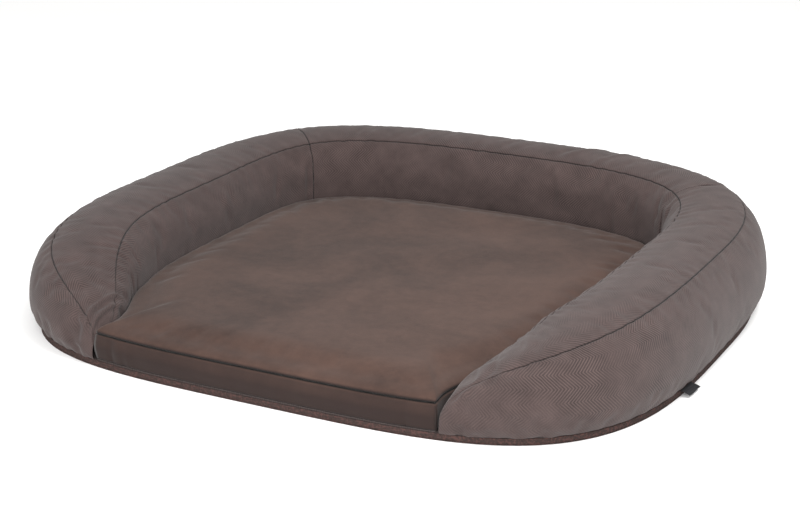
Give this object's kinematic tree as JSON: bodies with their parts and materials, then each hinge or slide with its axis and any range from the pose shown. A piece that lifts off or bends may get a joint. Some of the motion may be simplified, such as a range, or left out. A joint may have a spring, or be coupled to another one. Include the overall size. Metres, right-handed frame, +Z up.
{
  "type": "pet cushion bed",
  "caption": "Rectangular pet bed with a stuffed U-shaped bolster open at the front, a thin padded base and a boxed foam seat cushion that lifts out.",
  "frame": {"origin": "on the floor under the middle of the bed's bounding box", "axes": "+Z up, +X to the bed's right as seen from the open front, the open front faces -Y"},
  "size_m": [1.2, 1.0798, 0.1855],
  "materials": {
    "twill": "matte",
    "nubuck": "matte",
    "base_felt": "matte",
    "deck_cloth": "matte",
    "fibre_fill": "matte",
    "support_foam": "matte",
    "memory_foam": "matte",
    "zip_tape": "matte",
    "zip_chain": "satin",
    "woven_label": "matte",
    "slider_metal": "satin"
  },
  "bodies": {
    "bolster_and_base": {"left_outer_panel": "twill", "left_top_panel": "twill", "left_inner_panel": "twill", "left_bolster_fill": "fibre_fill", "back_outer_panel": "twill", "back_top_panel": "twill", "back_inner_panel": "twill", "back_bolster_fill": "fibre_fill", "right_outer_panel": "twill", "right_top_panel": "twill", "right_inner_panel": "twill", "right_bolster_fill": "fibre_fill", "base_panel": "base_felt", "base_band": "base_felt", "base_pad": "fibre_fill", "deck_panel": "deck_cloth", "back_zip_tape": "zip_tape", "back_zip_chain": "zip_chain", "back_zip_stop_right": "slider_metal", "back_zip_stop_left": "slider_metal", "side_label": "woven_label"},
    "seat_cushion": {"seat_top_panel": "nubuck", "seat_front_boxing": "nubuck", "seat_left_boxing": "nubuck", "seat_right_boxing": "nubuck", "seat_back_boxing": "nubuck", "seat_bottom_panel": "deck_cloth", "seat_support_foam": "support_foam", "seat_memory_foam": "memory_foam", "seat_zip_tape": "zip_tape", "seat_zip_chain": "zip_chain", "seat_zip_stop_right": "slider_metal", "seat_zip_stop_left": "slider_metal"},
    "seat_zip_slider": {"seat_zip_slider": "slider_metal"},
    "back_zip_slider": {"back_zip_slider": "slider_metal"},
    "back_zip_pull": {"back_zip_pull": "slider_metal"}
  },
  "joints": [
    {"name": "seat_lift", "type": "slide", "parent": "bolster_and_base", "child": "seat_cushion", "axis": [0, 0, 1], "range_m": [0, 0.204]},
    {"name": "seat_zip_travel", "type": "hinge", "parent": "seat_cushion", "child": "seat_zip_slider", "pos_m": [0, -2.58461, 0.0352], "axis": [0, 0, 1], "range_deg": [0, 5.05]},
    {"name": "back_zip_travel", "type": "hinge", "parent": "bolster_and_base", "child": "back_zip_slider", "pos_m": [0, -2.61897, 0.0484], "axis": [0, 0, 1], "range_deg": [0, 5.05]},
    {"name": "back_zip_pull_swing", "type": "hinge", "parent": "back_zip_slider", "child": "back_zip_pull", "pos_m": [0.14074, 0.53746, 0.0484], "axis": [0, 0, 1], "range_deg": [-170, 0]}
  ]
}
